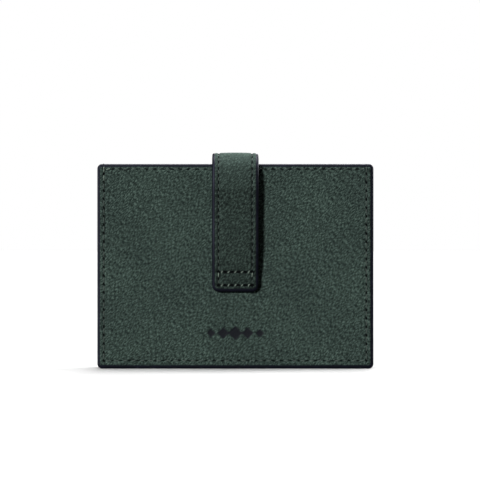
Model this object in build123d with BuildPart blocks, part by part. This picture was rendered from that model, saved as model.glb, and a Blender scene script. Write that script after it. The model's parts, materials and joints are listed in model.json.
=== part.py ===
from build123d import *
import os
from math import cos, degrees, radians, sin

# Card holder: two stitched covers, four dividers in an accordion and a magnetic closing strap.
# The front faces -Y, +X is to the right seen from the front, and the holder stands on Z = 0.
# All sizes are in millimetres.

os.makedirs("parts", exist_ok=True)

# Covers
panel_width = 104.0
panel_height = 77.0
panel_corner = 1.8
face_thickness = 0.9
lining_thickness = 0.8
stiffener_thickness = 0.3
stiffener_inset = 6.0
coat_thickness = 0.4
coat_rounding = 0.45

# Accordion
divider_count = 4
ply_thickness = 0.3
pocket_gap = 0.84
divider_side_inset = 1.2
divider_base = 1.0
divider_top = 72.5
gusset_depth = 8.0
gusset_thickness = 0.16
gusset_clearance = 0.06
gusset_base = 2.8
gusset_top = 71.0
floor_width = 0.5
floor_height = 1.4
floor_wall = 0.15
floor_side_inset = 4.0

# Strap
strap_width = 17.5
strap_corner = 2.6
strap_layer = 0.9
strap_coat = 0.35
strap_back_gap = 0.1
strap_root_height = 51.0
strap_tip_height = 29.0
bend_start_height = 76.6
rear_radius = 2.8
rear_end = 76.0
crown_radius = 10.0
crown_end = 104.0
front_radius = 6.0
front_end = 166.0
drop_radius = 34.0
drop_end = 183.2
rear_hinge_angle = 47.0
top_hinge_angle = 118.0
front_hinge_angle = 157.0
hinge_cut = 0.25

# Closing magnets
magnet_width = 11.5
magnet_height = 3.6
magnet_thickness = 1.0
plate_width = 16.0
plate_height = 9.0
plate_thickness = 0.5

# Stitching
side_seam_inset = 2.5
bottom_seam_inset = 3.0
top_seam_inset = 2.0
panel_stitch_pitch = 3.14
strap_seam_inset = 2.45
strap_stitch_pitch = 2.6
stitch_fill = 0.8
groove_width = 0.8
groove_depth = 0.3
thread_width = 0.45
thread_thickness = 0.25
box_height = 5.0
box_margin = 2.6

# Debossed ornament: a row of lozenges, smaller towards both ends
ornament_height = 13.4
ornament_depth = 0.25
lozenge_pitch = 4.6
lozenge_size = 5.6
lozenge_step = 1.1
lozenge_rank = 2

# Sizes that follow from those above
cover_thickness = face_thickness + lining_thickness
divider_thickness = 2 * ply_thickness
gap_count = divider_count + 1
body_thickness = 2 * cover_thickness + divider_count * divider_thickness + gap_count * pocket_gap
core_width = panel_width - 2 * coat_thickness
core_height = panel_height - 2 * coat_thickness
core_corner = panel_corner - coat_thickness
strap_thickness = 2 * strap_layer
strap_core_width = strap_width - 2 * strap_coat


def arc_point(centre, radius, angle):
    """Point (y, z) on a circle in the side view."""
    return (centre[0] + radius * cos(radians(angle)), centre[1] + radius * sin(radians(angle)))


def strap_arcs(mid_y):
    """The strap's four bends over the top, each as (centre, inner radius, start angle, end angle)."""
    start = (mid_y + body_thickness / 2 + strap_back_gap, bend_start_height)
    arcs = []
    angle = 0.0
    for radius, end in (
        (rear_radius, rear_end),
        (crown_radius, crown_end),
        (front_radius, front_end),
        (drop_radius, drop_end),
    ):
        centre = arc_point(start, -radius, angle)
        arcs.append((centre, radius, angle, end))
        start = arc_point(centre, radius, end)
        angle = end
    return arcs


# The strap reaches further forward than back, so the body is set back to centre the whole on Y = 0.
drop_centre = strap_arcs(0.0)[-1][0]
front_reach = drop_radius + strap_thickness - drop_centre[0]
back_reach = body_thickness / 2 + strap_back_gap + strap_thickness
mid_y = (front_reach - back_reach) / 2
back_outer = mid_y + body_thickness / 2
front_outer = mid_y - body_thickness / 2
rear_bend, crown_bend, front_bend, drop_bend = strap_arcs(mid_y)
drop_start = arc_point(drop_bend[0], drop_bend[1], drop_end)
drop_run = (drop_start[1] - strap_tip_height) / cos(radians(drop_end - 180))


def save(part, name):
    part.label = name
    export_step(part, f"parts/{name}.step")


def panel(width, height, corner, rear, thickness, base):
    """Upright rounded panel whose rear face is at Y = rear, reaching forward by its thickness."""
    with BuildPart() as sheet:
        with BuildSketch(Plane.XZ.offset(-rear)):
            with Locations((0, base + height / 2)):
                RectangleRounded(width, height, corner)
        extrude(amount=thickness)
    return sheet.part


# ---------------------------------------------------------------- covers


def seam_lines():
    """Seam runs of a cover as (x, z, length, turn in degrees), turn 90 for the upright runs."""
    side_x = panel_width / 2 - side_seam_inset
    low = bottom_seam_inset
    high = panel_height - top_seam_inset
    across = 2 * side_x
    upright = panel_height - coat_thickness - low
    return [
        (0.0, low, across, 0.0),
        (0.0, high, across, 0.0),
        (-side_x, low + upright / 2, upright, 90.0),
        (side_x, low + upright / 2, upright, 90.0),
    ]


def cover_face(name, rear, outer_is_front):
    """Face leather with the seam groove on its outer side, and the ornament on the front one."""
    outer = rear - face_thickness if outer_is_front else rear
    outward = -1 if outer_is_front else 1
    with BuildPart() as face:
        add(panel(core_width, core_height, core_corner, rear, face_thickness, coat_thickness))
        with BuildSketch(Plane.XZ.offset(-outer)):
            for x, z, length, turn in seam_lines():
                with Locations(Location((x, z, 0), (0, 0, turn))):
                    Rectangle(length + groove_width, groove_width)
        extrude(amount=outward * groove_depth, mode=Mode.SUBTRACT)
        if outer_is_front:
            with BuildSketch(Plane.XZ.offset(-outer)):
                for rank in range(-lozenge_rank, lozenge_rank + 1):
                    side = (lozenge_size - lozenge_step * abs(rank)) / 2**0.5
                    spot = (rank * lozenge_pitch, ornament_height, 0)
                    with Locations(Location(spot, (0, 0, 45))):
                        Rectangle(side, side)
            extrude(amount=outward * ornament_depth, mode=Mode.SUBTRACT)
    save(face.part, name)


def cover_lining(name, rear, recess_rear, with_plate):
    """Lining with a shallow recess that holds the stiffener and, in the front cover, the magnet plate."""
    inset = 2 * stiffener_inset
    with BuildPart() as lining:
        add(panel(core_width, core_height, core_corner, rear, lining_thickness, coat_thickness))
        with BuildSketch(Plane.XZ.offset(-recess_rear)):
            with Locations((0, panel_height / 2)):
                RectangleRounded(core_width - inset, core_height - inset, panel_corner)
        extrude(amount=stiffener_thickness, mode=Mode.SUBTRACT)
        if with_plate:
            with BuildSketch(Plane.XZ.offset(-recess_rear)):
                with Locations((0, plate_centre_height)):
                    Rectangle(plate_width, plate_height)
            extrude(amount=stiffener_thickness - plate_thickness, mode=Mode.SUBTRACT)
    save(lining.part, name)


def cover_stiffener(name, rear, with_plate):
    """Stiff board inside a cover, with a window for the magnet plate in the front one."""
    inset = 2 * stiffener_inset
    with BuildPart() as board:
        with BuildSketch(Plane.XZ.offset(-rear)):
            with Locations((0, panel_height / 2)):
                RectangleRounded(core_width - inset, core_height - inset, panel_corner)
            if with_plate:
                with Locations((0, plate_centre_height)):
                    Rectangle(plate_width, plate_height, mode=Mode.SUBTRACT)
        extrude(amount=stiffener_thickness)
    save(board.part, name)


def cover_edge_coat(name, rear):
    """Painted edge bead all round a cover, rounded on both outer corners."""
    with BuildPart() as coat:
        with BuildSketch(Plane.XZ.offset(-rear)):
            with Locations((0, panel_height / 2)):
                RectangleRounded(panel_width, panel_height, panel_corner)
        extrude(amount=cover_thickness)
        rims = coat.edges().group_by(Axis.Y)
        fillet(rims[0] + rims[-1], radius=coat_rounding)
        with BuildSketch(Plane.XZ.offset(-rear)):
            with Locations((0, panel_height / 2)):
                RectangleRounded(core_width, core_height, core_corner)
        extrude(amount=cover_thickness, mode=Mode.SUBTRACT)
    save(coat.part, name)


def cover_thread(name, outer, outward):
    """Seam stitches lying in the groove of a cover."""
    floor = outer - outward * (groove_depth - (groove_depth - thread_thickness) / 2)
    with BuildPart() as thread:
        with BuildSketch(Plane.XZ.offset(-floor)):
            for x, z, length, turn in seam_lines():
                count = int(length / panel_stitch_pitch)
                stitch = panel_stitch_pitch * stitch_fill
                with Locations(Location((x, z, 0), (0, 0, turn))):
                    with GridLocations(panel_stitch_pitch, 1, count, 1):
                        Rectangle(stitch - thread_width, thread_width)
        extrude(amount=-outward * thread_thickness)
    save(thread.part, name)


# The magnet plate lies behind the box of stitches at the strap's tip.
tip_box_centre = box_margin + box_height / 2
plate_centre_height = strap_tip_height + tip_box_centre

# Each cover has its face leather outside and its lining towards the pockets.
back_inner = back_outer - cover_thickness
front_inner = front_outer + cover_thickness
cover_face("back_face_leather", back_outer, False)
cover_lining("back_lining", back_outer - face_thickness, back_outer - face_thickness, False)
cover_stiffener("back_stiffener", back_outer - face_thickness, False)
cover_edge_coat("back_edge_coat", back_outer)
cover_thread("back_seam_thread", back_outer, 1)

front_recess_rear = front_inner - lining_thickness + stiffener_thickness
cover_face("front_face_leather", front_inner - lining_thickness, True)
cover_lining("front_lining", front_inner, front_recess_rear, True)
cover_stiffener("front_stiffener", front_recess_rear, True)
cover_edge_coat("front_edge_coat", front_inner)
cover_thread("front_seam_thread", front_outer, -1)

plate_rear = front_recess_rear - stiffener_thickness + plate_thickness
with BuildPart() as magnet_plate:
    with BuildSketch(Plane.XZ.offset(-plate_rear)):
        with Locations((0, plate_centre_height)):
            Rectangle(plate_width, plate_height)
    extrude(amount=plate_thickness)
save(magnet_plate.part, "front_magnet_plate")

# ------------------------------------------------------------- accordion

pocket_pitch = divider_thickness + pocket_gap
divider_width = panel_width - 2 * divider_side_inset
divider_height = divider_top - divider_base
gusset_edge = divider_width / 2 - 0.4

for number in range(1, divider_count + 1):
    rear = back_inner - number * pocket_gap - (number - 1) * divider_thickness
    for side, ply_rear in (("rear", rear), ("front", rear - ply_thickness)):
        ply = panel(divider_width, divider_height, panel_corner, ply_rear, ply_thickness, divider_base)
        save(ply, f"divider_{number}_{side}_ply")

for number in range(1, gap_count + 1):
    middle = back_inner - (number - 1) * pocket_pitch - pocket_gap / 2

    # Side pleats: a V of thin leather whose fold points into the pocket
    spread = pocket_gap / 2 - gusset_clearance
    fold_x = gusset_edge - gusset_depth
    with BuildPart() as pleat:
        with BuildSketch(Plane.XY.offset(gusset_base)):
            with BuildLine():
                Polyline(
                    (gusset_edge, middle + spread),
                    (fold_x, middle + gusset_thickness / 2),
                    (fold_x, middle - gusset_thickness / 2),
                    (gusset_edge, middle - spread),
                    (gusset_edge, middle - spread + gusset_thickness),
                    (fold_x + 1.5, middle),
                    (gusset_edge, middle + spread - gusset_thickness),
                    close=True,
                )
            make_face()
        extrude(amount=gusset_top - gusset_base)
    save(pleat.part, f"gusset_right_{number}")
    with BuildPart() as left_pleat:
        add(pleat.part)
        mirror(about=Plane.YZ, mode=Mode.REPLACE)
    save(left_pleat.part, f"gusset_left_{number}")

    # Pocket floor: a U fold along the bottom of the gap
    with BuildPart() as floor:
        with BuildSketch(Plane.YZ):
            with Locations((middle, divider_base + floor_height / 2)):
                Rectangle(floor_width, floor_height)
            with Locations((middle, divider_base + floor_wall + floor_height / 2)):
                Rectangle(floor_width - 2 * floor_wall, floor_height, mode=Mode.SUBTRACT)
        extrude(amount=panel_width / 2 - floor_side_inset, both=True)
    save(floor.part, f"pocket_floor_{number}")

# ----------------------------------------------------------------- strap


def cut_angle(bend):
    """Half of the hinge cut, as an angle on a bend."""
    return degrees(hinge_cut / 2 / (bend[1] + strap_layer))


def stretch(bend, start, end):
    """The part of a bend between two angles."""
    return (bend[0], bend[1], start, end)


rear_cut = cut_angle(rear_bend)
front_cut = cut_angle(front_bend)
anchor_bends = [stretch(rear_bend, 0.0, rear_hinge_angle - rear_cut)]
bridge_bends = [
    stretch(rear_bend, rear_hinge_angle + rear_cut, rear_end),
    crown_bend,
    stretch(front_bend, crown_end, top_hinge_angle - front_cut),
]
curl_bends = [stretch(front_bend, top_hinge_angle + front_cut, front_hinge_angle - front_cut)]
tongue_bends = [stretch(front_bend, front_hinge_angle + front_cut, front_end), drop_bend]

# Planes of the two flat stretches, on the strap's inner face, with local +Y up the holder
root_plane = Plane(
    origin=(0, back_outer + strap_back_gap, bend_start_height), x_dir=(-1, 0, 0), z_dir=(0, 1, 0)
)
root_run = bend_start_height - strap_root_height
drop_plane = Plane(
    origin=(0, drop_start[0], drop_start[1]),
    x_dir=(1, 0, 0),
    z_dir=(0, cos(radians(drop_end)), sin(radians(drop_end))),
)


def strap_stretch(bends, flat, low, high, half_width, trim=0.0, corner=0.0, x=0.0):
    """Strap between two depths, low nearest its inner face: its bends and, if flat is (plane, run), its
    flat stretch, which ends trim short of the strap's end with its two corners rounded."""
    with BuildPart() as piece:
        if flat:
            plane, run = flat
            length = run - trim
            with BuildSketch(plane.offset(low)):
                with Locations((x * plane.x_dir.X, -length / 2)):
                    Rectangle(2 * half_width, length)
            extrude(amount=high - low)
            if corner > 0:
                upright = piece.edges().filter_by(Axis((0, 0, 0), plane.z_dir))
                fillet(upright.group_by(Axis.Z)[0], radius=corner)
        for centre, radius, start, end in bends:
            inner, outer = radius + low, radius + high
            with BuildSketch(Plane.YZ.offset(x)):
                with BuildLine():
                    CenterArc(centre, inner, start, end - start)
                    CenterArc(centre, outer, start, end - start)
                    Line(arc_point(centre, inner, start), arc_point(centre, outer, start))
                    Line(arc_point(centre, inner, end), arc_point(centre, outer, end))
                make_face()
            extrude(amount=half_width, both=True)
    return piece.part


def stitch_places(bends, flat, first, depth):
    """(y, z, angle) of each stitch along a seam: angle is that of the strap's outward side."""
    places = []
    for centre, radius, start, end in bends:
        reach = radius + strap_thickness
        count = int(radians(end - start) * reach / strap_stitch_pitch)
        for index in range(count):
            angle = start + (end - start) * (index + 0.5) / count
            places.append((*arc_point(centre, radius + depth, angle), angle))
    if flat:
        plane, run = flat
        count = int((run - first) / strap_stitch_pitch)
        angle = drop_end if plane is drop_plane else 0.0
        for index in range(count):
            spot = plane.from_local_coords((0, -(index + 0.5) * (run - first) / count, depth))
            places.append((spot.Y, spot.Z, angle))
    return places


seam_x = strap_width / 2 - strap_seam_inset
thread_depth = strap_thickness - groove_depth / 2
groove_bottom = strap_thickness - groove_depth
across_pitch = 2 * seam_x / round(2 * seam_x / strap_stitch_pitch)


def box_rows(run):
    """Local heights of the two cross rows of a box of stitches."""
    return (-(run - box_margin), -(run - box_margin - box_height))


def strap_parts(prefix, bends, flat, magnet=None):
    """Leather, lining, painted edge and seam stitches of one stretch of the strap."""
    core = strap_core_width / 2
    inner_corner = strap_corner - strap_coat
    with BuildPart() as leather:
        add(strap_stretch(bends, flat, strap_layer, strap_thickness, core, strap_coat, inner_corner))
        for x in (-seam_x, seam_x):
            groove = strap_stretch(
                bends, flat, groove_bottom, strap_thickness, groove_width / 2, box_margin, 0.0, x
            )
            add(groove, mode=Mode.SUBTRACT)
        if flat:
            plane, run = flat
            with BuildSketch(plane.offset(groove_bottom)):
                for height in box_rows(run):
                    with Locations((0, height)):
                        Rectangle(2 * seam_x + groove_width, groove_width)
            extrude(amount=groove_depth, mode=Mode.SUBTRACT)
        if magnet:
            add(magnet, mode=Mode.SUBTRACT)
    save(leather.part, f"{prefix}_leather")

    with BuildPart() as lining:
        add(strap_stretch(bends, flat, 0.0, strap_layer, core, strap_coat, inner_corner))
        if magnet:
            add(magnet, mode=Mode.SUBTRACT)
    save(lining.part, f"{prefix}_lining")

    with BuildPart() as coat:
        add(strap_stretch(bends, flat, 0.0, strap_thickness, strap_width / 2, 0.0, strap_corner))
        hollow = strap_stretch(bends, flat, 0.0, strap_thickness, core, strap_coat, inner_corner)
        add(hollow, mode=Mode.SUBTRACT)
    save(coat.part, f"{prefix}_edge_coat")

    stitch = strap_stitch_pitch * stitch_fill - thread_width
    with BuildPart() as thread:
        for y, z, angle in stitch_places(bends, flat, box_margin + box_height, thread_depth):
            for x in (-seam_x, seam_x):
                with Locations(Location((x, y, z), (angle, 0, 0))):
                    Box(thread_width, thread_thickness, stitch)
    save(thread.part, f"{prefix}_thread")


def box_thread(name, flat):
    """Box of stitches at an end of the strap: two cross rows and two short sides."""
    plane, run = flat
    stitch = across_pitch * stitch_fill - thread_width
    low_row, high_row = box_rows(run)
    with BuildPart() as thread:
        with BuildSketch(plane.offset(thread_depth - thread_thickness / 2)):
            for row in (low_row, high_row):
                with Locations((0, row)):
                    with GridLocations(across_pitch, 1, round(2 * seam_x / across_pitch), 1):
                        Rectangle(stitch, thread_width)
            with Locations((0, (low_row + high_row) / 2)):
                with GridLocations(2 * seam_x, box_height / 2, 2, 2):
                    Rectangle(thread_width, stitch)
        extrude(amount=thread_thickness)
    save(thread.part, name)


root_flat = (root_plane, root_run)
drop_flat = (drop_plane, drop_run)

with BuildPart() as strap_magnet:
    with BuildSketch(drop_plane.offset(strap_layer - magnet_thickness / 2)):
        with Locations((0, tip_box_centre - drop_run)):
            Rectangle(magnet_width, magnet_height)
    extrude(amount=magnet_thickness)
save(strap_magnet.part, "strap_magnet")

strap_parts("strap_anchor", anchor_bends, root_flat)
strap_parts("strap_bridge", bridge_bends, None)
strap_parts("strap_curl", curl_bends, None)
strap_parts("strap_tongue", tongue_bends, drop_flat, strap_magnet.part)
box_thread("strap_anchor_box_thread", root_flat)
box_thread("strap_tip_box_thread", drop_flat)

for name, bend, angle in (
    ("strap_lift", rear_bend, rear_hinge_angle),
    ("strap_crown_bend", front_bend, top_hinge_angle),
    ("strap_front_bend", front_bend, front_hinge_angle),
):
    y, z = arc_point(bend[0], bend[1] + strap_thickness, angle)
    print(f"{name} hinge at Y {y:.4f}, Z {z:.4f}")
print(f"front face Y {front_outer:.4f}, back face Y {back_outer:.4f}")
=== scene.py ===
import json
import math

import bmesh
import bpy
import numpy as np
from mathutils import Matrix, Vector


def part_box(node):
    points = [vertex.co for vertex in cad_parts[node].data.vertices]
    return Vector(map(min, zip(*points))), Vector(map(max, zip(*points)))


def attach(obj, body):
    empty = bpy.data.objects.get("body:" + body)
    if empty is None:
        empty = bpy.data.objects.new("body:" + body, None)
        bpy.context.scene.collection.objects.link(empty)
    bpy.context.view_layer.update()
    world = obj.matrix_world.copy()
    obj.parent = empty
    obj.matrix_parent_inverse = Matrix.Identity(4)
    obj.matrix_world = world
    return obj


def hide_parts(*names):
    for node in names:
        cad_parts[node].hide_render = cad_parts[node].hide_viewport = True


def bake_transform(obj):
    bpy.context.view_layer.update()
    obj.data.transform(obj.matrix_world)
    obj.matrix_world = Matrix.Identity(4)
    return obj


# Looks of the accordion card holder: nubuck covers and strap, painted edges, twisted thread and pleats.
# Lengths are in millimetres until they reach a mesh, and +Z is up.

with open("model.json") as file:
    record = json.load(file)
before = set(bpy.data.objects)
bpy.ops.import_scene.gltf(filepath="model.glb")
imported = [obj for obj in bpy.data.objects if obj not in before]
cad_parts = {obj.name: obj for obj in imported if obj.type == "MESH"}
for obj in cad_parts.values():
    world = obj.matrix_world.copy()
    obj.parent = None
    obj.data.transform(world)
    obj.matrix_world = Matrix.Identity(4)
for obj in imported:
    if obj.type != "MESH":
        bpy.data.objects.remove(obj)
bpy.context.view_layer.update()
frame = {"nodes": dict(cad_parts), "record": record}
rng = np.random.default_rng(7)
MM = 0.001


def box_mm(node):
    low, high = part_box(node)
    return np.array(low) / MM, np.array(high) / MM


# Sizes read from the frame, in millimetres
cover_half_width, _, cover_height = box_mm("front_edge_coat")[1]
front_outer = box_mm("front_face_leather")[0][1]
back_face_low, back_face_high = box_mm("back_face_leather")
back_outer = back_face_high[1]
face_thickness = back_outer - back_face_low[1]
cover_thickness = back_outer - box_mm("back_lining")[0][1]
ply_low, ply_high = box_mm("divider_1_rear_ply")
divider_thickness = 2 * (ply_high[1] - ply_low[1])
strap_low, strap_high = box_mm("strap_tongue_edge_coat")
strap_half_width, strap_tip_height = strap_high[0], strap_low[2]
strap_root_height = box_mm("strap_anchor_edge_coat")[0][2]
back_inner = back_outer - cover_thickness
front_inner = front_outer + cover_thickness
divider_count = sum(node.endswith("_rear_ply") for node in frame["nodes"])
pocket_gap = (back_inner - front_inner - divider_count * divider_thickness) / (divider_count + 1)

# The strap leaves the back cover at BEND_START and goes over the top in four bends, which are given as
# (inner radius, end angle in degrees).
BEND_START = 76.6
STRAP_BENDS = ((2.8, 76.0), (10.0, 104.0), (6.0, 166.0), (34.0, 183.2))
STRAP_BACK_GAP = 0.1
STRAP_THICKNESS = 1.8
STRAP_CORNER = 2.6
COVER_CORNER = 1.8

# Distance between needle holes, and the strap's seams
PANEL_PITCH = 3.14
STRAP_PITCH = 2.6
STRAP_SEAM = strap_half_width - 2.45
BOX_MARGIN = 2.6
BOX_HEIGHT = 5.0
THREAD_RADIUS = 0.19
STITCH_LEAN = 5.0


# ------------------------------------------------------------------ materials


def linear(red, green, blue):
    """Linear colour from sRGB values of 0 to 255."""
    values = np.array([red, green, blue]) / 255
    low, high = values / 12.92, ((values + 0.055) / 1.055) ** 2.4
    return (*np.where(values <= 0.04045, low, high), 1.0)


class Nodes:
    """Short calls for building one material's node tree."""

    def __init__(self, name):
        self.material = bpy.data.materials.new(name)
        self.material.use_nodes = True
        self.tree = self.material.node_tree
        self.shader = self.tree.nodes["Principled BSDF"]

    def add(self, kind, **values):
        node = self.tree.nodes.new("ShaderNode" + kind)
        for key, value in values.items():
            if key in node.inputs:
                node.inputs[key].default_value = value
            else:
                setattr(node, key, value)
        return node

    def link(self, source, target):
        self.tree.links.new(source, target)

    def set(self, **values):
        for key, value in values.items():
            self.shader.inputs[key.replace("_", " ")].default_value = value

    def flat_coordinates(self):
        """Coordinates in millimetres that lie flat on the leather and move with it."""
        return self.add("Attribute", attribute_name="grain").outputs["Vector"]

    def solid_coordinates(self):
        """Coordinates in millimetres of the object itself, for pieces with no flat ones."""
        place = self.add("TexCoord").outputs["Object"]
        scale = self.add("VectorMath", operation="SCALE")
        scale.inputs["Scale"].default_value = 1 / MM
        self.link(place, scale.inputs[0])
        return scale.outputs[0]

    def noise(self, place, scale, detail, roughness=0.5, turn=0.0, stretch=1.0):
        """Noise with streaks that lean by turn degrees from the leather's second axis."""
        mapping = self.add("Mapping", vector_type="TEXTURE")
        mapping.inputs["Rotation"].default_value = (0, 0, math.radians(turn))
        mapping.inputs["Scale"].default_value = (1, stretch, 1)
        self.link(place, mapping.inputs["Vector"])
        noise = self.add("TexNoise", Scale=scale, Detail=detail, Roughness=roughness)
        self.link(mapping.outputs[0], noise.inputs["Vector"])
        return noise.outputs[0]

    def mix(self, factor, one, two):
        """Colour mix; each of the three may be a socket or a value."""
        node = self.add("Mix", data_type="RGBA")
        for socket, value in zip((node.inputs[0], node.inputs[6], node.inputs[7]), (factor, one, two)):
            if isinstance(value, bpy.types.NodeSocket):
                self.link(value, socket)
            else:
                socket.default_value = value
        return node.outputs[2]

    def multiply(self, one, two):
        node = self.add("Mix", data_type="RGBA", blend_type="MULTIPLY")
        node.inputs[0].default_value = 1.0
        self.link(one, node.inputs[6])
        self.link(two, node.inputs[7])
        return node.outputs[2]

    def math(self, operation, one, two=0.0, clamp=False):
        node = self.add("Math", operation=operation, use_clamp=clamp)
        for socket, value in zip(node.inputs, (one, two)):
            if isinstance(value, bpy.types.NodeSocket):
                self.link(value, socket)
            else:
                socket.default_value = value
        return node.outputs[0]

    def ramp(self, value, stops):
        """Colours between stops of (position, sRGB values of 0 to 255)."""
        node = self.add("ValToRGB")
        elements = node.color_ramp.elements
        while len(elements) < len(stops):
            elements.new(0.5)
        for element, (position, colour) in zip(elements, stops):
            element.position = position
            element.color = linear(*colour)
        self.link(value, node.inputs[0])
        return node.outputs[0]

    def colour(self, value, stops):
        self.link(self.ramp(value, stops), self.shader.inputs["Base Color"])

    def roughness(self, least, value, extra):
        """From least, more by a share of the value."""
        level = self.math("ADD", least, self.math("MULTIPLY", value, extra))
        self.link(level, self.shader.inputs["Roughness"])

    def bump(self, height, strength, distance):
        node = self.add("Bump", Strength=strength, Distance=distance)
        self.link(height, node.inputs["Height"])
        self.link(node.outputs[0], self.shader.inputs["Normal"])


def nubuck_material(name, shade, relief, lean):
    """Short-napped leather: nap leaning by lean degrees, needle holes darkened by painted shade, inked
    marks, and bends paler partly from stretched nap and partly from a painted highlight; shade scales the
    whole tone.
    """
    n = Nodes(name)
    place = n.flat_coordinates()
    streaks = n.noise(place, 2.55, 1, 0.5, turn=lean, stretch=2.8)
    fibres = n.noise(place, 5.0, 1, 0.5, turn=lean, stretch=1.8)
    clumps = n.noise(place, 0.32, 3, 0.6, turn=lean, stretch=1.5)
    clouds = n.noise(place, 0.05, 2, 0.5)
    nap = n.math("ADD", n.math("MULTIPLY", streaks, 0.57), n.math("MULTIPLY", fibres, 0.36))
    nap = n.math("ADD", nap, n.math("MULTIPLY", clumps, 0.07))
    naps = [(0.39, (23, 33, 30)), (0.47, (45, 58, 53)), (0.53, (58, 73, 67)), (0.62, (91, 111, 102))]
    tone = n.ramp(nap, naps)
    tone = n.multiply(tone, n.ramp(clouds, [(0.35, (232, 232, 234)), (0.65, (255, 255, 255))]))
    # Over the crown the tone turns paler and lighter: partly stretched nap, partly a painted highlight
    # standing in for light from above.
    stretch_and_highlight = n.add("Attribute", attribute_name="stretch_and_highlight").outputs["Fac"]
    tone = n.mix(n.math("MULTIPLY", stretch_and_highlight, 0.5), tone, linear(53, 67, 62))
    level = n.math("ADD", shade, n.math("MULTIPLY", stretch_and_highlight, 0.36))
    grey = n.add("CombineColor")
    for channel in ("Red", "Green", "Blue"):
        n.link(level, grey.inputs[channel])
    tone = n.multiply(tone, grey.outputs[0])
    hole_shade = n.add("Attribute", attribute_name="hole_shade").outputs["Fac"]
    ink = n.add("Attribute", attribute_name="ink").outputs["Fac"]
    # Painted shade: the needle holes are darkened nearly to black where the leather is pulled in.
    tone = n.mix(n.math("MULTIPLY", hole_shade, 0.85, clamp=True), tone, linear(9, 12, 13))
    tone = n.mix(ink, tone, linear(13, 16, 23))
    n.link(tone, n.shader.inputs["Base Color"])
    matt = n.math("SUBTRACT", 0.92, n.math("MULTIPLY", ink, 0.3))
    n.link(matt, n.shader.inputs["Roughness"])
    n.set(Specular_IOR_Level=0.15, Sheen_Weight=0.08, Sheen_Roughness=0.5)
    n.shader.inputs["Sheen Tint"].default_value = linear(150, 178, 165)
    n.bump(nap, relief, 0.3 * MM)
    return n.material


def lining_material():
    """Thin smooth leather with fine pores and a soft mottle."""
    n = Nodes("lining_leather")
    place = n.flat_coordinates()
    cells = n.add("TexVoronoi", Scale=2.2, feature="DISTANCE_TO_EDGE")
    n.link(place, cells.inputs["Vector"])
    mottle = n.noise(place, 0.35, 4, 0.6)
    fine = n.noise(place, 3.0, 2, 0.6)
    n.colour(mottle, [(0.3, (33, 42, 40)), (0.5, (42, 52, 49)), (0.72, (54, 66, 62))])
    n.roughness(0.55, mottle, 0.2)
    pores = n.math("MINIMUM", cells.outputs["Distance"], 0.25)
    n.bump(n.math("ADD", pores, n.math("MULTIPLY", fine, 0.2)), 0.4, 0.12 * MM)
    n.set(Specular_IOR_Level=0.35)
    return n.material


def edge_paint_material():
    """Built-up navy edge paint: satin, slightly uneven."""
    n = Nodes("edge_paint")
    place = n.flat_coordinates()
    waves = n.noise(place, 0.35, 3, 0.5)
    specks = n.noise(place, 2.4, 2, 0.5)
    n.colour(waves, [(0.3, (7, 9, 15)), (0.55, (12, 13, 22)), (0.75, (19, 20, 33))])
    n.roughness(0.42, specks, 0.2)
    n.bump(n.math("ADD", waves, n.math("MULTIPLY", specks, 0.3)), 0.15, 0.1 * MM)
    n.set(Specular_IOR_Level=0.26)
    n.shader.inputs["Specular Tint"].default_value = linear(196, 200, 228)
    return n.material


def needle_hole_material():
    """Painted shade inside the needle holes: near-black cut leather."""
    n = Nodes("needle_hole_shade")
    cut = n.noise(n.flat_coordinates(), 5.0, 2, 0.6)
    n.colour(cut, [(0.3, (2, 4, 5)), (0.7, (9, 12, 13))])
    n.roughness(0.85, cut, 0.1)
    n.set(Specular_IOR_Level=0.05)
    return n.material


def thread_material(name, dark, pale):
    """Twisted polyester thread in the leather's colour."""
    n = Nodes(name)
    place = n.flat_coordinates()
    fibres = n.noise(place, 9.0, 2, 0.6, turn=-35, stretch=3.0)
    n.colour(fibres, [(0.3, dark), (0.7, pale)])
    n.roughness(0.5, fibres, 0.3)
    n.bump(fibres, 0.4, 0.05 * MM)
    n.set(Sheen_Weight=0.15)
    return n.material


def board_material():
    """Pressed fibre board."""
    n = Nodes("fibre_board")
    flecks = n.noise(n.solid_coordinates(), 1.4, 4, 0.7)
    n.colour(flecks, [(0.3, (168, 160, 142)), (0.7, (206, 198, 180))])
    n.roughness(0.75, flecks, 0.2)
    n.bump(flecks, 0.3, 0.05 * MM)
    return n.material


def nickel_material():
    """Nickel-plated magnet and plate, with fine polishing lines."""
    n = Nodes("nickel")
    lines = n.noise(n.solid_coordinates(), 3.0, 3, 0.5, stretch=20.0)
    n.colour(lines, [(0.3, (176, 175, 170)), (0.7, (205, 204, 200))])
    n.roughness(0.2, lines, 0.2)
    n.set(Metallic=1.0)
    n.bump(lines, 0.15, 0.02 * MM)
    return n.material


nubuck = nubuck_material("nubuck", 0.98, 0.6, -45)
# The strap's copy is darker by its shade: partly its nap lying the other way, partly painted shade for nap
# brushed against the light.
strap_nubuck_nap_and_shade = nubuck_material("strap_nubuck_nap_and_shade", 0.64, 0.45, 45)
lining_leather = lining_material()
edge_paint = edge_paint_material()
needle_hole_shade = needle_hole_material()
thread = thread_material("thread", (36, 46, 42), (70, 85, 78))
# Paler copy of the thread: a painted highlight on the short stitches that catch the light.
highlight_thread = thread_material("highlight_thread", (80, 95, 86), (140, 156, 142))

# --------------------------------------------------------------- mesh helpers

SHARP_EDGE = math.radians(60)


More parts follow.
